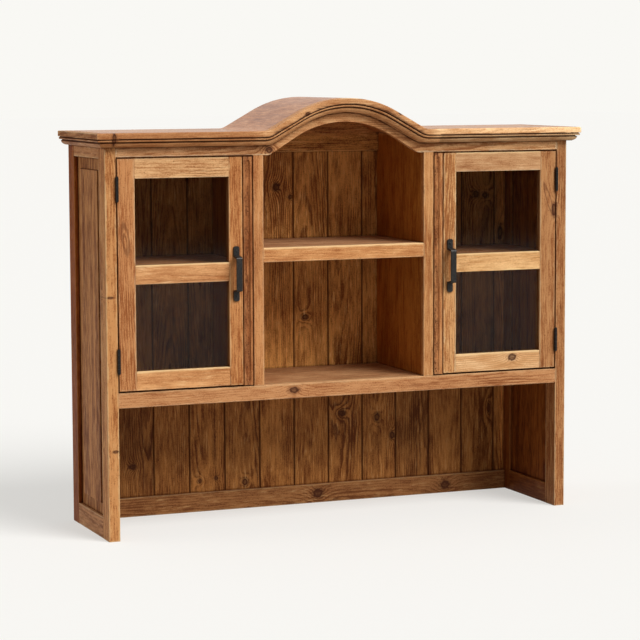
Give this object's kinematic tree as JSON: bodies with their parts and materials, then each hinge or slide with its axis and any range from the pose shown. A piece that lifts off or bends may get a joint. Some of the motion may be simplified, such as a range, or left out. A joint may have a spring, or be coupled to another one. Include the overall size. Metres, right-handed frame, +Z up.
{
  "type": "step back cupboard hutch",
  "caption": "Pine upper hutch of a step back cupboard: arched crown over an open shelf bay, glazed hinged doors beside it and an open niche under the deck.",
  "frame": {"origin": "bottom centre of the box round the whole hutch, on the plane of the feet", "axes": "+X to the viewer's right across the front, +Y from the front to the back, +Z up"},
  "size_m": [1.564, 0.41, 1.2905],
  "materials": {
    "frame_pine": "waxed, worn at the edges",
    "case_pine": "waxed, darker",
    "back_pine": "waxed, darker",
    "glass": "clear, polished",
    "black_iron": "black, satin",
    "catch_plastic": "brown, matte",
    "catch_steel": "zinc plated"
  },
  "bodies": {
    "case": {"arched_frieze_rail": "frame_pine", "arched_top": "case_pine", "back_bottom_rail": "case_pine", "back_top_rail": "case_pine", "centre_back_boards": "back_pine", "centre_shelf": "case_pine", "centre_shelf_edge": "frame_pine", "crown_front_moulding": "frame_pine", "crown_left_return": "frame_pine", "crown_right_return": "frame_pine", "deck_board": "case_pine", "deck_front_rail": "frame_pine", "door_catches": "catch_plastic", "hinge_case_leaves": "black_iron", "hinge_pins": "black_iron", "left_back_boards": "back_pine", "left_cabinet_shelf": "case_pine", "left_partition": "case_pine", "left_side_bottom_rail": "frame_pine", "left_side_front_stile": "frame_pine", "left_side_panel": "case_pine", "left_side_rear_stile": "frame_pine", "left_side_top_rail": "frame_pine", "left_strike_strip": "frame_pine", "left_top_board": "case_pine", "right_back_boards": "back_pine", "right_cabinet_shelf": "case_pine", "right_partition": "case_pine", "right_side_bottom_rail": "frame_pine", "right_side_front_stile": "frame_pine", "right_side_panel": "case_pine", "right_side_rear_stile": "frame_pine", "right_side_top_rail": "frame_pine", "right_strike_strip": "frame_pine", "right_top_board": "case_pine", "shelf_cleats": "case_pine"},
    "left_door": {"left_catch_plate": "catch_steel", "left_door_bottom_rail": "frame_pine", "left_door_glazing_beads": "frame_pine", "left_door_hinge_leaves": "black_iron", "left_door_hinge_stile": "frame_pine", "left_door_lock_stile": "frame_pine", "left_door_lower_glass": "glass", "left_door_mid_rail": "frame_pine", "left_door_top_rail": "frame_pine", "left_door_upper_glass": "glass", "left_pull": "black_iron", "left_pull_screws": "black_iron"},
    "right_door": {"right_catch_plate": "catch_steel", "right_door_bottom_rail": "frame_pine", "right_door_glazing_beads": "frame_pine", "right_door_hinge_leaves": "black_iron", "right_door_hinge_stile": "frame_pine", "right_door_lock_stile": "frame_pine", "right_door_lower_glass": "glass", "right_door_mid_rail": "frame_pine", "right_door_top_rail": "frame_pine", "right_door_upper_glass": "glass", "right_pull": "black_iron", "right_pull_screws": "black_iron"}
  },
  "joints": [
    {"name": "left_door_hinge", "type": "hinge", "parent": "case", "child": "left_door", "pos_m": [-0.7145, -0.173, 0.782], "axis": [0, 0, -1], "range_deg": [0, 180]},
    {"name": "right_door_hinge", "type": "hinge", "parent": "case", "child": "right_door", "pos_m": [0.7145, -0.173, 0.782], "axis": [0, 0, 1], "range_deg": [0, 180]}
  ]
}
